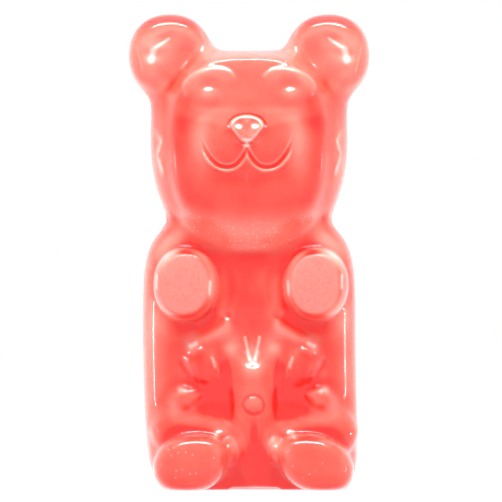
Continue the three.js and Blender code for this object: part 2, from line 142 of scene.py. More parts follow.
# ---------- Facets ----------
EYE_GLINT = patch(10.9, 106.7, 2.8, 2.3, 2.0)
EAR_STREAK = patch(23.3, 119.2, 3.0, 1.5, 1.2, turn=33)
EAR_BLOB = patch(26.1, 115.2, 2.0, 2.0, 1.7, lean=15)
BAND_KNOT = patch(6.9, 45.8, 1.2, 1.2, 1.1, turn=15)
LEG_GLINT = patch(9.4, 15.6, 1.8, 1.3, 0.9, turn=20)
EAR_ROOT = patch(15.0, 116.2, 3.2, 3.2, 1.5, lean=90)
HEAD_FACETS = (EYE_GLINT, EAR_STREAK, EAR_BLOB, EAR_ROOT)
BELLY_FACETS = (CROWN_KNOB, CROWN, FLANK_TOP, BAND_KNOT, LEG_GLINT)

# ---------- Base and lean ----------
LEAN = 1.5
LEAN_TOP = 45
BASE_EDGE = 1.2
BASE_RISE = 0.65
BASE_RISE_WIDE = 7.4
BASE_RISE_FADE = 1.6
FRONT_FADE = 4

# ---------- Grid ----------
BOX_SIZE = np.array([68.0, 42.0, 130.0])
BOX_CENTRE = np.array([0.0, 0.0, 64.0])
COARSE = (30, 12, 57)
ROUNDS = (50, 14, 6, 5)
CORE_WIDE, CORE_Y, CORE_LOW, CORE_HIGH = 12.0, 5.0, 22.0, 96.0
NOSE_SPACING, FACE_SPACING, FRONT_SPACING, BACK_SPACING = 0.24, 0.5, 0.8, 2.2
SPLIT_OVER = 1.6
FINE_HEAD_LOW, FINE_ARM_REACH, FINE_BELLY_TOP, FINE_BELLY_WIDE = 100, 11, 44, 20
NOSE_AREA = dict(wide=14.5, low=83, high=101.5)
BACK_FROM, BACK_FADE = -4, 8
RELAX_KEEP, RELAX_PULL = 0.35, 0.65
DRAW_STEPS, DRAW_SHARE, DRAW_LEAST, DRAW_MOST = 70, 0.7, -2, 4

# ---------- Painted pools of light, and painted shade where negative, by place in the front view ----------
FOREHEAD_POOL = dict(x=0, z=104.5, wide=10, high=5, deep=0.1)
MUZZLE_POOL = dict(x=13.0, z=92.5, wide=2.8, high=7.5, deep=0.36)
CHEEK_TOP_POOL = dict(x=10.0, z=97.2, wide=4.5, high=3.0, deep=0.16)
FACE_POOL = dict(x=0, z=84, wide=16, high=12, deep=0.03)
HEAD_CORNER_POOL = dict(x=20.5, z=108.2, wide=7, high=3.5, deep=-0.12)
MUZZLE_TOP_POOL = dict(x=7.5, z=101.2, wide=6, high=2.2, deep=0.12)
NOSE_POOL = dict(x=0, z=94.5, wide=1.7, high=1.8, deep=0.25)
HEAD_SIDE_POOL = dict(x=24.4, z=92, wide=1.5, high=11, deep=0.16)
JAW_POOL = dict(x=0, z=68.5, wide=13.5, high=4.0, deep=0.22)
JAW_SIDE_POOL = dict(x=7.5, z=69.2, wide=4, high=2.6, deep=0.08)
THROAT_POOL = dict(x=11.3, z=64, wide=3.5, high=3, deep=0.06)
NECK_FOLD_POOL = dict(x=18.4, z=69.4, wide=2.4, high=2.2, deep=0.16)
NECK_POOL = dict(x=22.0, z=69.4, wide=3.4, high=3.4, deep=0.74)
SHOULDER_POOL = dict(x=23.0, z=63.5, wide=3.6, high=4.0, deep=0.44)
ARM_POOL = dict(x=24, z=46.5, wide=4.0, high=4.5, deep=0.34)
ARM_TOP_POOL = dict(x=17.0, z=63.6, wide=2.8, high=1.8, deep=-0.2)
PAW_EDGE_POOL = dict(x=10.2, z=53.5, wide=1.4, high=4.0, deep=0.2)
EAR_POOL = dict(x=24.5, z=115, wide=5.5, high=6, deep=0.24)
EAR_SIDE_POOL = dict(x=29.6, z=114.8, wide=2.4, high=5, deep=-0.16)
LID_POOL = dict(x=10.6, z=109, wide=6.5, high=4, deep=0.04)
EAR_ROOT_POOL = dict(x=16.5, z=113.5, wide=3, high=5, deep=-0.03)
CHEST_POOL = dict(x=0, z=54, wide=5, high=9, deep=-0.02)
CHEST_SIDE_POOL = dict(x=7.4, z=51.5, wide=2.2, high=7.5, deep=0.28)
FLANK_POOL = dict(x=28.2, z=40, wide=2.2, high=15, deep=0.42)
BAND_POOL = dict(x=9.6, z=41.8, wide=4.2, high=2.4, deep=0.22)
BAND_END_POOL = dict(x=15.4, z=39.8, wide=2.6, high=2.0, deep=0.34)
FLANK_MID_POOL = dict(x=10.7, z=36, wide=1.6, high=3, deep=0.12)
CROWN_POOL = dict(x=0, z=34.9, wide=5, high=4.6, deep=0.3)
KNOB_POOL = dict(x=5.7, z=38.6, wide=2.2, high=2.8, deep=0.3)
NAVEL_POOL = dict(x=0, z=25.5, wide=3.8, high=5, deep=0.18)
PIT_POOL = dict(x=10.0, z=23.4, wide=4.6, high=4.6, deep=-0.3)
KNEE_POOL = dict(x=17.2, z=25.2, wide=3, high=2.2, deep=0.14)
LEG_POOL = dict(x=9.0, z=16.6, wide=2.6, high=2.4, deep=0.16)
COLUMN_POOL = dict(x=4.0, z=15.5, wide=2.6, high=5, deep=0.12)
CURL_POOL = dict(x=4.6, z=12.2, wide=2.4, high=3.2, deep=0.45)
CROTCH_POOL = dict(x=0, z=5, wide=4.4, high=6, deep=-0.22)
POOLS = (
    FOREHEAD_POOL, MUZZLE_POOL, CHEEK_TOP_POOL, FACE_POOL, HEAD_CORNER_POOL, MUZZLE_TOP_POOL, NOSE_POOL,
    HEAD_SIDE_POOL, JAW_POOL, JAW_SIDE_POOL, THROAT_POOL, NECK_FOLD_POOL, NECK_POOL, SHOULDER_POOL,
    ARM_POOL, ARM_TOP_POOL, PAW_EDGE_POOL, EAR_POOL, EAR_SIDE_POOL, LID_POOL, EAR_ROOT_POOL, CHEST_POOL,
    CHEST_SIDE_POOL, FLANK_POOL, BAND_POOL, BAND_END_POOL, FLANK_MID_POOL, CROWN_POOL, KNOB_POOL,
    NAVEL_POOL, PIT_POOL, KNEE_POOL, LEG_POOL, COLUMN_POOL, CURL_POOL, CROTCH_POOL,
)

# ---------- Painted highlights: strokes of caught light, by place in the front view ---
EAR_STROKE = dict(x0=21.4, z0=120.3, x1=25.0, z1=117.9, wide=0.4, deep=0.9)
EAR_SPOT = dict(x0=25.6, z0=117.2, x1=26.1, z1=114.6, wide=0.8, deep=0.9)
EAR_OUTLINE = dict(x0=30.0, z0=118, x1=28.4, z1=111.6, wide=0.25, deep=0.3)
CROWN_STEM = dict(x0=0, z0=34.0, x1=0, z1=37.6, wide=0.9, deep=0.4)
CROWN_TINE = dict(x0=0.8, z0=34.8, x1=1.9, z1=40.6, wide=0.4, deep=0.35)
LEG_SHEEN = dict(x0=20.5, z0=20.2, x1=8.0, z1=16.8, wide=2.5, deep=0.36)
FLANK_GLINT = dict(x0=10.7, z0=35.4, x1=9.9, z1=32.8, wide=0.3, deep=0.8)
CROWN_FAN = dict(x0=0.5, z0=34.2, x1=1.5, z1=36.8, wide=0.6, deep=0.5)
BAND_END_GLINT = dict(x0=16.4, z0=38.5, x1=15.0, z1=39.0, wide=0.6, deep=1.1)
KNEE_GLINT = dict(x0=19.4, z0=26.8, x1=18.2, z1=26.5, wide=0.7, deep=0.5)
LEG_SPOT = dict(x0=10.5, z0=14.4, x1=9.6, z1=15.7, wide=0.5, deep=0.5)
NECK_SPOT = dict(x0=20.5, z0=71.6, x1=19.5, z1=71.8, wide=0.45, deep=0.9)
STUB_OUTER_GLINT = dict(x0=24.6, z0=57.2, x1=24.6, z1=53.8, wide=0.35, deep=0.8)
STUB_INNER_GLINT = dict(x0=10.3, z0=55.6, x1=10.5, z1=52.2, wide=0.35, deep=0.7)
STROKES = (
    EAR_STROKE, EAR_SPOT, EAR_OUTLINE, CROWN_STEM, CROWN_TINE, CROWN_FAN, BAND_END_GLINT, KNEE_GLINT,
    LEG_SPOT, NECK_SPOT, STUB_OUTER_GLINT, STUB_INNER_GLINT, LEG_SHEEN, FLANK_GLINT,
)
# Painted highlight lines round the nose, in a wedge below it, beside the mouth and over the lids
NOSE_LINE = dict(out=0.1, wide=0.25, deep=0.6)
NOSE_LINE_NEAR = 8
WEDGE = dict(z=90.9, high=2.9, fade=0.5, wide=0.25, spread=0.4, deep=0.9)
MOUTH_LINE = dict(out=0.75, wide=0.25, deep=0.4)
MOUTH_LINE_TOP = 96
LID_LINE = dict(out=-0.9, wide=0.4, deep=0.45)
LID_LINE_LOW, LID_LINE_FADE, LID_LINE_FLOOR = -0.5, 3, 100

# ---------- Painted light in the jelly, by its thickness and by the light that gets through --------
CELL = 1.5
SHINE_REACH = 12.0
SHINE_FAR = 42.0
THIN_LEAST = 5.0
THIN_REACH = 10.0
THIN_SHARE = 0.75
SIDE_SHARE = 0.12
SIDE_TOP, SIDE_FADE = 100, 15
TOP_SHARE = 0.16
TOP_REACH = 9.0
# Painted shade where pressed in and on the ears' tops; one flank painted darker and the other paler
SUNK_SHADE = dict(amount=0.1, full=3)
EAR_TOP_SHADE = dict(amount=0.5, low=115, fade=8)
FLANK_SHADE = dict(amount=0.1, side=25, side_fade=3, top=70, top_fade=8)

# ---------- Painted hollow shade, edge highlights and light under the jaw; paws and soles ---
HOLLOW_REACH = 2.5
PIT_REACH = 6.0
PIT_FLATTEN = (1, 1, 0.3)
HOLLOW_SHARE, PIT_SHARE = 0.3, 0.7
HOLLOW_GAIN, HOLLOW_HALF = 1.2, 0.4
HOLLOW_JAW_EASE = 0.8
HOLLOW_EARS = dict(ease=0.9, low=104, fade=4)
EDGE_REACH = 0.8
EDGE_FACE = dict(ease=0.8, low=66, low_fade=4, top=106, top_fade=6, side=12, side_fade=3)
RAISED_HIGHLIGHT = dict(amount=0.9, full=1.5)
JAW_UNDER = dict(slope=0.5, low=62, low_fade=3, top=78, top_fade=6)
PAW_EDGE, PAW_DEEP = 0.5, 2
FOOT_FRONT, FOOT_TOP = 16.5, 18
SOLE_SNAP = 0.03


def ramp(t):
    """Smooth ramp from 0 to 1: three t squared less two t cubed, held outside."""
    s = np.clip(t, 0, 1)
    return s * s * (3 - 2 * s)


def melt(a, b, width):
    """Lower of two fields, with their crossing rounded off by a cubic over the given width."""
    h = np.maximum(width - np.abs(a - b), 0) / width
    return np.minimum(a, b) - h**3 * width / 6


def carve(a, b, width):
    """Higher of two fields, rounded as melt is."""
    return -melt(-a, -b, width)


def lump(x, y, z, s):
    """Distance to a rounded block: a superellipse in the front view whose ring level joins the depth by a
    second exponent, divided by the length of its own gradient."""
    angle = np.radians(s["turn"])
    dx = np.cos(angle) * (x - s["x"]) + np.sin(angle) * (z - s["z"])
    dz = np.cos(angle) * (z - s["z"]) - np.sin(angle) * (x - s["x"])
    dy = y - s["y"]
    taper = s["draft"] * np.maximum(-dy, 0)
    wide = s["wide"] - taper
    high = np.where(dz < 0, s["down"], s["up"]) - taper
    deep = np.where(dy < 0, s["front"], s["back"])
    plan, section = s["plan"], s["section"]
    u, v, w = np.abs(dx) / wide, np.abs(dz) / high, np.abs(dy) / deep
    ring = u**plan + v**plan + TINY
    level = (ring ** (section / plan) + w**section) ** (1 / section) + TINY
    scale = level ** (1 - section)
    ring_scale = scale * ring ** (section / plan - 1)
    across = ring_scale * u ** (plan - 1) / wide
    upward = ring_scale * v ** (plan - 1) / high
    inward = scale * w ** (section - 1) / deep
    return (level - 1) / (np.sqrt(across**2 + upward**2 + inward**2) + TINY)


def oval(u, v, wide, up, down, plan):
    """Front view distance to a superellipse with its own height above and below the centre."""
    high = np.where(v < 0, down, up)
    p, q = np.abs(u) / wide, np.abs(v) / high
    level = (p**plan + q**plan + TINY) ** (1 / plan)
    slope = np.hypot((p / level) ** (plan - 1) / wide, (q / level) ** (plan - 1) / high)
    return (level - 1) / (slope + TINY)


def dent(x, z, s):
    """Depth of a soft round dent: a bell curve in the front view."""
    return s["deep"] * np.exp(-(((x - s["x"]) / s["wide"]) ** 2) - ((z - s["z"]) / s["high"]) ** 2)


def groove(distance, s):
    """Depth of a groove: a bell curve of the distance from its line."""
    return s["deep"] * np.exp(-((distance / s["wide"]) ** 2))


def unleaned(x, z):
    """Place across the bear as moulded, before the lower body leans by a square of its way down."""
    return x - LEAN * np.clip((LEAN_TOP - z) / LEAN_TOP, 0, 1) ** 2


def off_belly(x, z):
    """Distance to the side of the belly's middle, which shifts off the bear's own below the chest."""
    return np.abs(x - BELLY_SHIFT * ramp((BELLY_TOP - z) / BELLY_SHIFT_FADE))


def arm_stub(side, y, z):
    """A superellipse boss that tapers forward, cut by a faintly domed paw."""
    grow = ARM_GROW * (1 - (1 - np.clip((y + ARM["front"]) / ARM_SLOPE, 0, 1)) ** 2)
    u, v = side - ARM["x"], z - ARM["z"]
    wall = oval(u, v, ARM["wide"] + grow, ARM["high"] + grow, ARM["high"] + grow, ARM["plan"])
    paw = -y - ARM["front"] + ARM_DOME * ((u / ARM["wide"]) ** 2 + (v / ARM["high"]) ** 2)
    return carve(carve(wall, paw, ARM_EDGE), y - ARM["back"], ARM_BACK_EDGE)


def mouth_line(side, z):
    """Height above the mouth's line, made a distance: a power curve rising each way from its lowest point."""
    off = side - MOUTH["x"]
    rise = np.where(off < 0, MOUTH["inner_rise"], MOUTH["outer_rise"])
    power = np.where(off < 0, MOUTH["inner_power"], MOUTH["outer_power"])
    slope = rise * power * np.abs(off) ** (power - 1)
    return (z - MOUTH["z"] - rise * np.abs(off) ** power) / np.sqrt(1 + slope**2)


def crease(x, z, s):
    """Depth of a crease: a bell curve of the distance to a straight stretch, proud where negative."""
    along_x, along_z = s["x1"] - s["x0"], s["z1"] - s["z0"]
    share = ((x - s["x0"]) * along_x + (z - s["z0"]) * along_z) / (along_x**2 + along_z**2)
    share = np.clip(share, 0, 1)
    return groove(np.hypot(x - s["x0"] - share * along_x, z - s["z0"] - share * along_z), s)


def facet(x, z, s):
    """Depth of a small leaning patch: proportional to the way along its lean, recessed above its middle and
    proud below it, fading all round as a turned bell curve."""
    angle, lean = np.radians(s["turn"]), np.radians(s["lean"])
    dx, dz = x - s["x"], z - s["z"]
    u, v = np.cos(angle) * dx - np.sin(angle) * dz, np.cos(angle) * dz + np.sin(angle) * dx
    along = np.cos(lean) * dz + np.sin(lean) * dx
    return s["deep"] * along / s["high"] * np.exp(-((u / s["wide"]) ** 2) - (v / s["high"]) ** 2)


def nose_rim(u, z):
    """Front view distance to the nose's outline: an oval that narrows downwards."""
    v = z - NOSE["z"]
    narrow = 1 + NOSE["narrowing"] * np.clip(-v, NOSE_NARROW_FROM, NOSE["up"])
    return oval(u * narrow, v, NOSE["wide"], NOSE["up"], NOSE["down"], NOSE["plan"])


def nose_and_mouth(x, z):
    """A raised nose in a ring groove, the mouth's groove and lips, and the dent that joins them."""
    u = x - FACE_SHIFT
    rim = nose_rim(u, z)
    lip = ramp((MOUTH_GROOVE["end"] - np.abs(u)) / MOUTH_GROOVE["fade"])
    lip = lip * ramp((z - MOUTH_GROOVE["floor"]) / MOUTH_GROOVE["floor_fade"])
    line = mouth_line(np.abs(u), z)
    return (
        groove(rim - NOSE_RING["out"], NOSE_RING)
        - NOSE_HIGH * ramp(0.5 - rim / NOSE_STEEP)
        + groove(rim - NOSE_BEAD["out"], NOSE_BEAD)
        + facet(np.abs(u), z, NOSE_SIDE)
        + lip * groove(line, MOUTH_GROOVE)
        + lip * groove(line - MOUTH_LIP["out"], MOUTH_LIP)
        + facet(u, z, PHILTRUM)
        + crease(u, z, CHIN_LINE)
    )


def lid_rim(side, z):
    """Front view distance to a lid's turned oval, and the height above its middle along its own axis."""
    angle = np.radians(EYE["turn"])
    u, v = side - EYE["x"], z - EYE["z"]
    across, upward = np.cos(angle) * u - np.sin(angle) * v, np.sin(angle) * u + np.cos(angle) * v
    return oval(across, upward, EYE["wide"], EYE["up"], EYE["down"], EYE["plan"]), upward


def eyes(side, z):
    """Raised closed lids: steep along the top of an oval and sloping away below, with a crease under them."""
    rim, upward = lid_rim(side, z)
    brim = ramp(-rim / EYE["brim"])
    tail = ramp((upward + EYE["down"]) / EYE["tail"])
    return dent(side, z, EYE_CREASE) - EYE["high"] * brim * tail


def ear_dishes(side, z):
    """Scooped ears: a gentle slope inside the rim, a bowl within it, and a valley beside the head."""
    u, v = side - EAR_DISH["x"], z - EAR_DISH["z"]
    out, across = (u + v) / np.sqrt(2), (u - v) / np.sqrt(2)
    radius = np.hypot(np.maximum(out, 0), across)
    bowl = np.hypot(np.maximum(out, 0), across * EAR_DISH["long"])
    scoop = (
        EAR_DISH["slope_deep"] * ramp((EAR_DISH["rim"] - radius) / EAR_DISH["slope_over"])
        + EAR_DISH["bowl_deep"] * ramp((EAR_DISH["bowl"] - bowl) / EAR_DISH["bowl_over"])
    )
    valley = EAR_VALLEY["deep"] * np.exp(-(((out - EAR_VALLEY["along"]) / EAR_VALLEY["wide"]) ** 2))
    valley = valley * ramp((EAR_VALLEY["across"] - np.abs(across)) / EAR_VALLEY["fade"])
    return (scoop + valley) * ramp((out - EAR_VALLEY["end"]) / EAR_VALLEY["end_over"])


def belly_front(x, z):
    """Ridges, knobs and creases of the belly and legs, with the navel's ring."""
    u = x - BELLY_SHIFT
    side = np.abs(u)
    depth = crease(side, z, CROWN_PRONG)
    depth = depth + groove(np.hypot(u, z - NAVEL["z"]) - NAVEL["radius"], NAVEL) + dent(u, z, NAVEL_KNOB)
    for s in CREASES:
        depth = depth + crease(side, z, s)
    for s in BELLY_FACETS:
        depth = depth + facet(side, z, s)
    return depth + dent(side, z, SIDE_PIT) + dent(x, z, BELLY_GROOVE) + dent(x, z, FEET_GAP)


def pressed(x, z):
    """Depth of everything pressed into the front, by place in the front view."""
    depth = np.zeros(len(x))
    head = z > HEAD_LOW
    side = np.abs(x[head])
    depth[head] = eyes(side, z[head]) + ear_dishes(side, z[head]) + nose_and_mouth(x[head], z[head])
    for s in HEAD_CREASES:
        depth[head] += crease(side, z[head], s)
    for s in HEAD_FACETS:
        depth[head] += facet(side, z[head], s)
    neck = (z > NECK_LOW) & (z <= HEAD_LOW)
    depth[neck] = facet(np.abs(x[neck]), z[neck], NECK_DIMPLE)
    low = z < BELLY_TOP
    depth[low] = belly_front(x[low], z[low])
    return depth


def melted(field, x, y, z, s):
    """Adds one lump to the field, worked out only for the points near its height."""
    reach = max(s["up"], s["down"]) + s["wide"] * (s["turn"] != 0) + s["melt"] + MELT_MARGIN
    near = np.abs(z - s["z"]) < reach
    out = field.copy()
    out[near] = melt(field[near], lump(x[near], y[near], z[near], s), s["melt"])
    return out


def bear(p):
    """The bear's field at an array of points: negative inside, about the distance near the skin."""
    y, z = p[:, 1], p[:, 2]
    x = unleaned(p[:, 0], z)
    side = np.abs(x)
    field = lump(x, y, z, TORSO)
    for part in (SKULL, SEAT):
        field = melted(field, x, y, z, part)
    field = melted(field, side, y, z, EAR)
    for part in (FACE, BROW, CHIN, MUZZLE):
        field = melted(field, x, y, z, part)
    field = melted(field, np.abs(x - FACE_SHIFT), y, z, CHEEK)
    for part in (CHEST, TUMMY, BELLY):
        field = melted(field, x, y, z, part)
    for part in (FLANK, THIGH, KNEE):
        field = melted(field, off_belly(x, z), y, z, part)
    field = melt(field, arm_stub(np.abs(x - ARM_SHIFT), y, z), ARM_MELT)
    field += ramp((FRONT_FADE - y) / FRONT_FADE) * pressed(x, z)
    field = melted(field, side + FOOT_SPLAY * (z - FOOT["z"]), y, z, FOOT)
    field = melted(field, side, y, z, CROTCH_FOLD)
    rise = BASE_RISE * ramp((BASE_RISE_WIDE - side) / BASE_RISE_FADE) * ramp(-y / FRONT_FADE)
    return carve(field, rise - z, BASE_EDGE)


def slope_of(p, here, tap=0.02):
    """Gradient of the field by forward differences."""
    return np.stack([(bear(p + tap * axis) - here) / tap for axis in np.eye(3)], axis=1)


def settle(p, rounds=2):
    """Moves points onto the skin by Newton steps along the gradient."""
    for _ in range(rounds):
        here = bear(p)
        slope = slope_of(p, here)
        p = p - (here / ((slope**2).sum(1) + TINY))[:, None] * slope
    return p


def box_grid(counts):
    """Closed grid of quads on a box: the lattice points of six faces, shared along the edges, facing out."""
    size = np.array(counts) + 1
    quads = []
    for axis in range(3):
        a, b = (axis + 1) % 3, (axis + 2) % 3
        i, j = np.meshgrid(np.arange(counts[a]), np.arange(counts[b]), indexing="ij")
        for end in (0, counts[axis]):
            ring = [(0, 0), (1, 0), (1, 1), (0, 1)]
            corners = np.zeros((i.size, 4, 3), int)
            for k, (di, dj) in enumerate(ring if end else ring[::-1]):
                corners[:, k, axis] = end
                corners[:, k, a] = (i + di).ravel()
                corners[:, k, b] = (j + dj).ravel()
            quads.append(np.ravel_multi_index(np.moveaxis(corners, 2, 0), size))
    used, quads = np.unique(np.concatenate(quads), return_inverse=True)
    lattice = np.stack(np.unravel_index(used, size), axis=1)
    return (lattice / np.array(counts) - 0.5) * BOX_SIZE + BOX_CENTRE, quads.reshape(-1, 4)


def edges_of(triangles):
    """Each edge of the grid once, and for each triangle the numbers of its three edges."""
    pairs = np.sort(np.stack([triangles, np.roll(triangles, -1, axis=1)], axis=2).reshape(-1, 2), axis=1)
    edges, number = np.unique(pairs, axis=0, return_inverse=True)
    return edges, number.reshape(-1, 3)


def split(points, triangles, wanted):
    """Splits the wanted triangles in four at their edges' middles, and their neighbours in two or three to
    fit."""
    edges, number = edges_of(triangles)
    cut = np.zeros(len(edges), bool)
    cut[number[wanted].ravel()] = True
    middle = np.full(len(edges), -1)
    middle[cut] = len(points) + np.arange(cut.sum())
    points = np.concatenate([points, points[edges[cut]].mean(1)])
    mids = middle[number]
    count = (mids >= 0).sum(1)
    turn = np.where(count == 1, np.argmax(mids >= 0, axis=1), 0)
    turn = np.where(count == 2, np.argmax(mids < 0, axis=1) + 1, turn)
    order = (np.arange(3) + turn[:, None]) % 3
    corners, mids = np.take_along_axis(triangles, order, 1), np.take_along_axis(mids, order, 1)
    (a, b, c), (d, e, f) = corners.T, mids.T
    made = [corners[count == 0]]
    ways = {
        1: ((a, d, c), (d, b, c)),
        2: ((d, b, e), (a, d, e), (a, e, c)),
        3: ((a, d, f), (d, b, e), (f, e, c), (d, e, f)),
    }
    for cuts, parts in ways.items():
        made += [np.stack(part, axis=1)[count == cuts] for part in parts]
    return points, np.concatenate(made)


def spacing(p):
    """Wanted grid spacing: finest at the nose and mouth, fine on the face and ears, wide on the back."""
    x, y, z = p.T
    side = np.abs(x)
    front = np.full(len(p), FRONT_SPACING)
    fine = (z > FINE_HEAD_LOW) | (np.hypot(side - ARM["x"], z - ARM["z"]) < FINE_ARM_REACH)
    front[fine | ((z < FINE_BELLY_TOP) & (side < FINE_BELLY_WIDE))] = FACE_SPACING
    finest = (np.abs(x - FACE_SHIFT) < NOSE_AREA["wide"]) & (z > NOSE_AREA["low"]) & (z < NOSE_AREA["high"])
    front[finest] = NOSE_SPACING
    return front + (BACK_SPACING - front) * ramp((y - BACK_FROM) / BACK_FADE)


def relax(points, edges, rounds):
    """Evens the grid out on the skin: each point goes most of the way to the weighted middle of its
    neighbours, then back onto the skin."""
    a, b = edges.T
    for _ in range(rounds):
        weight = 1 / spacing(points)
        total = np.bincount(a, weight[b], len(points)) + np.bincount(b, weight[a], len(points))
        pulled = points * weight[:, None]
        sums = [
            np.bincount(a, pulled[b, k], len(points)) + np.bincount(b, pulled[a, k], len(points))
            for k in range(3)
        ]
        middle = np.stack(sums, axis=1)
        points = settle(RELAX_KEEP * points + RELAX_PULL * middle / total[:, None], 1)
    return points


def draw_in(points):
    """Walks each point of the box towards a core bar inside the bear until it meets the skin."""
    core = np.stack(
        [
            np.clip(points[:, 0], -CORE_WIDE, CORE_WIDE),
            np.full(len(points), CORE_Y),
            np.clip(points[:, 2], CORE_LOW, CORE_HIGH),
        ],
        axis=1,
    )
    way = core - points
    reach = np.linalg.norm(way, axis=1)
    way /= reach[:, None]
    gone = np.zeros(len(points))
    for _ in range(DRAW_STEPS):
        stride = np.clip(bear(points + way * gone[:, None]), DRAW_LEAST, DRAW_MOST)
        gone = np.minimum(gone + DRAW_SHARE * stride, reach)
    return points + way * gone[:, None]


def bear_skin():
    """The finished skin: points in millimetres, and triangles, split where the wanted spacing is finer."""
    points, quads = box_grid(COARSE)
    triangles = np.concatenate([quads[:, [0, 1, 2]], quads[:, [0, 2, 3]]])
    points = settle(draw_in(points))
    for level, rounds in enumerate(ROUNDS):
        if level:
            corners = points[triangles]
            longest = np.linalg.norm(corners - np.roll(corners, -1, axis=1), axis=2).max(1)
            points, triangles = split(points, triangles, longest > SPLIT_OVER * spacing(corners.mean(1)))
        points = relax(points, edges_of(triangles)[0], rounds)
    return settle(points), triangles


def sampled(grid, spots):
    """Values between the cells of a grid, mixed from the eight round each spot."""
    low = np.floor(spots).astype(int)
    part = spots - low
    total = np.zeros(len(spots))
    for corner in np.ndindex(2, 2, 2):
        share = np.prod(np.where(corner, part, 1 - part), axis=1)
        total += share * grid[tuple((low + corner).T)]
    return total


def paleness(points, outward):
    """Painted light: how pale the jelly is painted at each point. Most is the exponential of minus its
    thickness from front to back over a reach. The rest is the light reaching the point through the jelly:
    over 26 directions, weighted by how straight each goes in, the mean of the same exponential of the way
    through the jelly. Surfaces facing sideways, and those with little jelly above them, get a little more."""
    low = BOX_CENTRE - BOX_SIZE / 2 - CELL
    count = np.ceil((BOX_SIZE + 2 * CELL) / CELL).astype(int) + 1
    cells = np.stack(np.meshgrid(*[np.arange(n) for n in count], indexing="ij"), axis=-1).reshape(-1, 3)
    solid = (bear(low + CELL * cells) < 0).reshape(count)
    spots = (points - CELL * outward - low) / CELL
    thick = np.broadcast_to(solid.sum(1, keepdims=True) * CELL, count)
    thin = np.exp(-np.maximum(sampled(thick, spots), THIN_LEAST) / THIN_REACH)
    total, weight = np.zeros(len(points)), np.zeros(len(points))
    for step in np.ndindex(3, 3, 3):
        step = np.array(step) - 1
        length = CELL * np.linalg.norm(step)
        if length:
            way = np.zeros(count)
            for _ in range(int(SHINE_FAR / length)):
                way = solid * (length + np.roll(way, -step, axis=(0, 1, 2)))
            facing = np.clip(-outward @ step * CELL / length, 0, 1)
            total += facing * sampled(np.exp(-way / SHINE_REACH), spots)
            weight += facing
    above = solid[:, :, ::-1].cumsum(2)[:, :, ::-1] * CELL
    top = TOP_SHARE * np.exp(-sampled(above, spots) / TOP_REACH)
    side = SIDE_SHARE * outward[:, 0] ** 2 * ramp((SIDE_TOP - points[:, 2]) / SIDE_FADE)
    return THIN_SHARE * thin + (1 - THIN_SHARE) * total / weight + side + top


def outward_of(points):
    """Directions straight out of the skin: the field's gradient divided by its length."""
    slope = slope_of(points, bear(points))
    return slope / np.linalg.norm(slope, axis=1)[:, None]


def front_share(points):
    """One on the front, fading to nothing at the middle of the depth."""
    return ramp(-points[:, 1] / FRONT_FADE)


def body_light(points, outward):
    """Painted light and shade on the body: pale by its thickness and shine, painted shade in what is
    pressed in, on the tops of the ears and down one flank, painted light down the other, plus the
    painted pools."""
    x, z = points[:, 0], points[:, 2]
    straight = unleaned(x, z)
    front = front_share(points)
    pale = paleness(points, outward)
    pale -= SUNK_SHADE["amount"] * ramp(pressed(straight, z) / SUNK_SHADE["full"]) * front
    s = EAR_TOP_SHADE
    pale -= s["amount"] * np.clip(outward[:, 2], 0, 1) * ramp((z - s["low"]) / s["fade"])
    s = FLANK_SHADE
    flank = ramp((np.abs(x) - s["side"]) / s["side_fade"]) * ramp((s["top"] - z) / s["top_fade"])
    pale -= s["amount"] * np.sign(x) * flank
    side = off_belly(straight, z)
    # Painted pools of light and shade, by place in the front view
    for s in POOLS:
        pale += front * dent(side, z, s)
    return pale


def line_light(points):
    """Painted highlights: pale lines of caught light round the nose, in a wedge below it, beside the mouth,
    over the lids, on the curls beside the head and along the strokes, each a bell curve of the distance
    from its line."""
    x, z = points[:, 0], points[:, 2]
    side = off_belly(unleaned(x, z), z)
    u = x - FACE_SHIFT
    near = (np.abs(u) < NOSE_LINE_NEAR) * (np.abs(z - NOSE["z"]) < NOSE_LINE_NEAR)
    line = groove(nose_rim(u, z) - NOSE_LINE["out"], NOSE_LINE) * near
    rise = z - WEDGE["z"]
    wedge_wide = WEDGE["wide"] + WEDGE["spread"] * np.clip(rise, 0, WEDGE["high"])
    wedge = ramp(rise / WEDGE["fade"]) * ramp((WEDGE["high"] - rise) / WEDGE["fade"])
    line += WEDGE["deep"] * wedge * np.exp(-((u / wedge_wide) ** 2))
    mouth = ramp((MOUTH_GROOVE["end"] - np.abs(u)) / MOUTH_GROOVE["fade"])
    mouth *= (z > MOUTH_GROOVE["floor"]) * (z < MOUTH_LINE_TOP)
    line += mouth * groove(np.abs(mouth_line(np.abs(u), z)) - MOUTH_LINE["out"], MOUTH_LINE)
    rim, upward = lid_rim(np.abs(x), z)
    lid = ramp((upward - LID_LINE_LOW) / LID_LINE_FADE) * (z > LID_LINE_FLOOR)
    line += lid * groove(rim - LID_LINE["out"], LID_LINE)
    for s in HEAD_CREASES:
        line += np.abs(crease(side, z, s))
    for s in STROKES:
        line += crease(side, z, s)
    return line * front_share(points)


def under_jaw(points, outward):
    """One on what faces down between neck and chin, fading above and below, where light from below is
    painted.
    """
    z, s = points[:, 2], JAW_UNDER
    band = ramp((z - s["low"]) / s["low_fade"]) * ramp((s["top"] - z) / s["top_fade"])
    return ramp(-outward[:, 2] / s["slope"]) * band


def closed_in(points, way, reach):
    """Share of the reach that jelly takes up: one less the field at its end over the reach."""
    return 1 - np.clip(bear(points + reach * way) / reach, 0, 1)


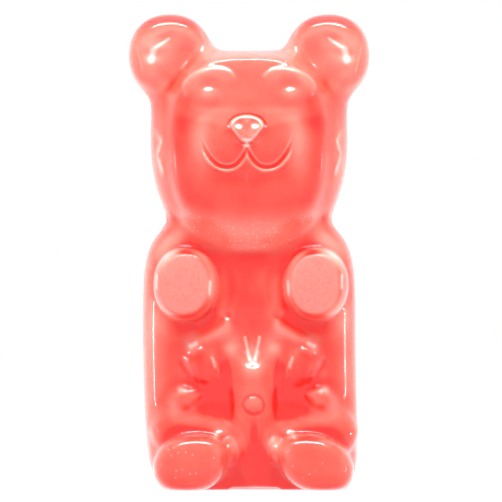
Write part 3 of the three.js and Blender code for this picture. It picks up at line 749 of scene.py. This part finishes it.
def hollowness(points, outward):
    """How closed in each point is, for painted shade in hollows: mostly by what stands off level with it,
    less by what is near, levelled off and eased under the jaw and on the ears."""
    level = outward * PIT_FLATTEN
    level /= np.linalg.norm(level, axis=1)[:, None] + TINY
    near, pit = closed_in(points, outward, HOLLOW_REACH), closed_in(points, level, PIT_REACH)
    hollow_shade = HOLLOW_SHARE * near + PIT_SHARE * pit
    hollow_shade = HOLLOW_GAIN * hollow_shade / (HOLLOW_HALF + hollow_shade)
    ears = HOLLOW_EARS["ease"] * ramp((points[:, 2] - HOLLOW_EARS["low"]) / HOLLOW_EARS["fade"])
    return hollow_shade * (1 - HOLLOW_JAW_EASE * under_jaw(points, outward)) * (1 - ears)


def edge_light(points, outward):
    """Painted highlight caught on tight bends, where a short way straight in comes near the skin again, eased
    at the sides of the face, and painted highlight on what stands proud of the front."""
    x, z, s = points[:, 0], points[:, 2], EDGE_FACE
    edge_highlight = np.clip(1 + bear(points - EDGE_REACH * outward) / EDGE_REACH, 0, 1)
    face = ramp((z - s["low"]) / s["low_fade"]) * ramp((s["top"] - z) / s["top_fade"])
    face *= ramp((np.abs(x) - s["side"]) / s["side_fade"])
    raised = ramp(-pressed(unleaned(x, z), z) / RAISED_HIGHLIGHT["full"]) * front_share(points)
    return edge_highlight * (1 - s["ease"] * face) + RAISED_HIGHLIGHT["amount"] * raised


def paw_faces(points):
    """One on the two flat paw faces, fading over their rims."""
    u, v = np.abs(points[:, 0]) - ARM["x"], points[:, 2] - ARM["z"]
    inside = 0.5 - oval(u, v, ARM["wide"], ARM["high"], ARM["high"], ARM["plan"]) / PAW_EDGE
    return ramp(inside) * ramp(PAW_DEEP - points[:, 1] - ARM["front"])


def placed(points):
    """The points with the sole snapped flat, centred on their own box over the floor."""
    points = points.copy()
    points[:, 2] = np.where(np.abs(points[:, 2]) < SOLE_SNAP, 0, points[:, 2])
    low, high = points.min(0), points.max(0)
    return points - [(low[0] + high[0]) / 2, (low[1] + high[1]) / 2, low[2]]


def make_mesh(name, points, triangles):
    """A smooth mesh in metres from points in millimetres and triangles."""
    mesh = bpy.data.meshes.new(name)
    mesh.vertices.add(len(points))
    mesh.vertices.foreach_set("co", (points * MM).astype(np.float32).ravel())
    mesh.loops.add(triangles.size)
    mesh.loops.foreach_set("vertex_index", triangles.ravel().astype(np.int32))
    mesh.polygons.add(len(triangles))
    mesh.polygons.foreach_set("loop_start", np.arange(0, triangles.size, 3, dtype=np.int32))
    mesh.polygons.foreach_set("use_smooth", np.ones(len(triangles), bool))
    mesh.update(calc_edges=True)
    mesh.validate()
    return mesh


def make_bear():
    """The bear, with the marks its jelly's colour reads: painted light, painted hollow shade, painted edge
    and line highlights, painted light under the jaw, and the dusted paws and speckled soles.
    """
    points, triangles = bear_skin()
    outward = outward_of(points)
    # Painted light, hollow shade, edge and line highlights and underside light; paw faces and soles
    marks = {
        "hollow_shade": hollowness(points, outward),
        "edge_highlight": edge_light(points, outward),
        "line": line_light(points),
        "lit_underside": under_jaw(points, outward) * front_share(points),
        "sole": ramp(-points[:, 1] - FOOT_FRONT) * (points[:, 2] < FOOT_TOP),
        "pale": body_light(points, outward),
        "paw": paw_faces(points),
    }
    mesh = make_mesh("jelly_bear", placed(points), triangles)
    for name, values in marks.items():
        layer = mesh.attributes.new(name, "FLOAT", "POINT")
        layer.data.foreach_set("value", values.astype(np.float32))
    piece = bpy.data.objects.new("jelly_bear", mesh)
    bpy.context.scene.collection.objects.link(piece)
    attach(piece, "root")
    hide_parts("bear")
    return piece


# ---------- Jelly ----------
JELLY_TINTS = (
    (0.01, (0.98, 0.02, 0.014, 1)),
    (0.10, (0.98, 0.078, 0.05, 1)),
    (0.5, (0.97, 0.295, 0.235, 1)),
    (1.0, (1.0, 0.75, 0.7, 1)),
)
DUST_TINT = (0.98, 0.26, 0.22, 1)
SHEEN_TINT = (1.0, 0.75, 0.7, 1)
CLOUD = dict(scale=90, detail=3, amount=0.18)
STIPPLE_SCALE, STIPPLE_DETAIL, STIPPLE_AMOUNT, STIPPLE_LEAST, STIPPLE_HIGH = 1500, 2, 0.8, 0.45, 0.5
RIPPLES = ((160, 1, 0.5), (420, 2, 0.2))
RIPPLE_DEEP = 0.0002
# How far painted hollow shade, painted edge and line highlights and painted underside light move the tint
HOLLOW_SHADE_AMOUNT, EDGE_HIGHLIGHT_AMOUNT, LINE_HIGHLIGHT_AMOUNT, LIT_UNDERSIDE_AMOUNT = -0.28, 0.25, 0.7, 0.12
# Pale dots of bubbles where the underside of the jaw is painted lit, and specks on the soles
BUBBLES = dict(scale=1000, size=0.26, amount=0.2)
SPECKS = dict(scale=480, size=0.16, amount=0.25)
GLOSS_ROUGHNESS, PAW_ROUGHNESS = 0.22, 0.4
FINISH = {
    "Subsurface Weight": 1.0,
    "Subsurface Radius": (1.0, 0.3, 0.25),
    "Subsurface Scale": 0.004,
    "IOR": 1.4,
    "Specular IOR Level": 0.2,
    "Coat Weight": 1.0,
    "Coat IOR": 1.5,
    "Coat Roughness": 0.04,
    "Sheen Weight": 0.15,
    "Sheen Roughness": 0.3,
    "Sheen Tint": SHEEN_TINT,
}


def jelly():
    """Coral jelly: painted deep in the thick of the body and paler where light comes through, with painted
    shade in hollows and painted highlights, under a glossy coat, and dusted on the paws."""
    material = bpy.data.materials.new("coral_jelly")
    material.use_nodes = True
    nodes, links = material.node_tree.nodes, material.node_tree.links
    shader = nodes["Principled BSDF"]
    place = nodes.new("ShaderNodeTexCoord").outputs["Object"]

    def math(kind, a, b):
        node = nodes.new("ShaderNodeMath")
        node.operation = kind
        for socket, value in zip(node.inputs, (a, b)):
            if isinstance(value, (int, float)):
                socket.default_value = value
            else:
                links.new(value, socket)
        return node.outputs[0]

    def plus(base, value, amount):
        return math("ADD", base, math("MULTIPLY", value, amount))

    def stored(name):
        node = nodes.new("ShaderNodeAttribute")
        node.attribute_name = name
        return node.outputs["Fac"]

    def noise(scale, detail):
        node = nodes.new("ShaderNodeTexNoise")
        node.inputs["Scale"].default_value = scale
        node.inputs["Detail"].default_value = detail
        links.new(place, node.inputs["Vector"])
        return node.outputs["Fac"]

    def dots(s, where):
        node = nodes.new("ShaderNodeTexVoronoi")
        node.inputs["Scale"].default_value = s["scale"]
        links.new(place, node.inputs["Vector"])
        return math("LESS_THAN", node.outputs["Distance"], math("MULTIPLY", where, s["size"]))

    paw, lit_underside = stored("paw"), stored("lit_underside")
    stipple = noise(STIPPLE_SCALE, STIPPLE_DETAIL)
    cloud = math("SUBTRACT", noise(CLOUD["scale"], CLOUD["detail"]), 0.5)
    # Painted light, hollow shade, edge and line highlights and underside light, with a random mottle
    light = plus(stored("pale"), cloud, CLOUD["amount"])
    light = plus(light, stored("hollow_shade"), HOLLOW_SHADE_AMOUNT)
    light = plus(light, stored("edge_highlight"), EDGE_HIGHLIGHT_AMOUNT)
    light = plus(light, stored("line"), LINE_HIGHLIGHT_AMOUNT)
    light = plus(light, lit_underside, LIT_UNDERSIDE_AMOUNT)
    light = plus(light, dots(BUBBLES, lit_underside), BUBBLES["amount"])
    light = plus(light, dots(SPECKS, stored("sole")), SPECKS["amount"])

    tint = nodes.new("ShaderNodeValToRGB")
    stops = tint.color_ramp.elements
    stops.remove(stops[1])
    stops[0].position, stops[0].color = JELLY_TINTS[0]
    for position, color in JELLY_TINTS[1:]:
        stops.new(position).color = color
    links.new(light, tint.inputs["Fac"])

    dust = nodes.new("ShaderNodeMix")
    dust.data_type = "RGBA"
    links.new(math("MULTIPLY", paw, plus(STIPPLE_LEAST, stipple, STIPPLE_AMOUNT)), dust.inputs["Factor"])
    links.new(tint.outputs["Color"], dust.inputs["A"])
    dust.inputs["B"].default_value = DUST_TINT
    links.new(dust.outputs["Result"], shader.inputs["Base Color"])
    links.new(plus(GLOSS_ROUGHNESS, paw, PAW_ROUGHNESS), shader.inputs["Roughness"])

    height = math("MULTIPLY", math("MULTIPLY", stipple, paw), STIPPLE_HIGH)
    for scale, detail, amount in RIPPLES:
        height = plus(height, noise(scale, detail), amount)
    grain = nodes.new("ShaderNodeBump")
    grain.inputs["Distance"].default_value = RIPPLE_DEEP
    links.new(height, grain.inputs["Height"])
    links.new(grain.outputs["Normal"], shader.inputs["Normal"])
    for name, value in FINISH.items():
        shader.inputs[name].default_value = value
    return material


# ---------- Studio: name, place, size and power of each softbox, all aimed at the bear's middle ----------
AIM = Vector((0, 0, 0.07))
SOFTBOXES = (
    ("left_softbox", (-0.6, 0.05, 0.03), (0.014, 0.1), 0.2),
    ("right_softbox", (0.6, 0.05, 0.03), (0.014, 0.1), 0.2),
    ("top_softbox", (0, -0.18, 0.6), (0.56, 0.13), 5.3),
    ("overhead", (0, 0, 0.9), (1.2, 1.2), 3.2),
)
SURROUND_LIGHT = 0.85
FLOOR_SIZE = 6
FLOOR_FINISH = {
    "Base Color": (0.15, 0.15, 0.15, 1),
    "Roughness": 1.0,
    "Specular IOR Level": 0.0,
    "Emission Color": (1, 1, 1, 1),
    "Emission Strength": 0.9,
}
CAMERA_LENS = 671.4
CAMERA_NEAR = 0.05
CAMERA_PLACE = (0.0005, -2.5, 0.0637)


def add_softbox(name, place, size, power):
    """A soft rectangular light aimed at the bear's middle."""
    light = bpy.data.lights.new(name, "AREA")
    light.shape = "RECTANGLE"
    light.size, light.size_y = size
    light.energy = power
    lamp = bpy.data.objects.new(name, light)
    lamp.location = place
    lamp.rotation_euler = (AIM - Vector(place)).to_track_quat("-Z", "Y").to_euler()
    bpy.context.scene.collection.objects.link(lamp)


def make_studio():
    """White surroundings, a pale floor, a narrow softbox on each side and two overhead."""
    world = bpy.data.worlds.new("studio")
    world.use_nodes = True
    nodes, links = world.node_tree.nodes, world.node_tree.links
    background = nodes["Background"]
    background.inputs["Color"].default_value = (1, 1, 1, 1)
    strength = nodes.new("ShaderNodeMapRange")
    strength.inputs["To Min"].default_value = SURROUND_LIGHT
    links.new(nodes.new("ShaderNodeLightPath").outputs["Is Camera Ray"], strength.inputs["Value"])
    links.new(strength.outputs["Result"], background.inputs["Strength"])
    bpy.context.scene.world = world
    bpy.ops.mesh.primitive_plane_add(size=FLOOR_SIZE)
    floor = bpy.context.object
    floor.name = "floor"
    paint = bpy.data.materials.new("floor_white")
    paint.use_nodes = True
    for name, value in FLOOR_FINISH.items():
        paint.node_tree.nodes["Principled BSDF"].inputs[name].default_value = value
    floor.data.materials.append(paint)
    for box in SOFTBOXES:
        add_softbox(*box)


def make_camera():
    """Straight on, level with the middle of the bear, from two and a half metres."""
    camera = bpy.data.cameras.new("camera")
    camera.lens = CAMERA_LENS
    camera.clip_start = CAMERA_NEAR
    eye = bpy.data.objects.new("camera", camera)
    eye.location = CAMERA_PLACE
    eye.rotation_euler = (np.pi / 2, 0, 0)
    bpy.context.scene.collection.objects.link(eye)
    bpy.context.scene.camera = eye


body = make_bear()
body.data.materials.append(jelly())
make_studio()
make_camera()
bpy.context.scene.view_settings.view_transform = "Standard"
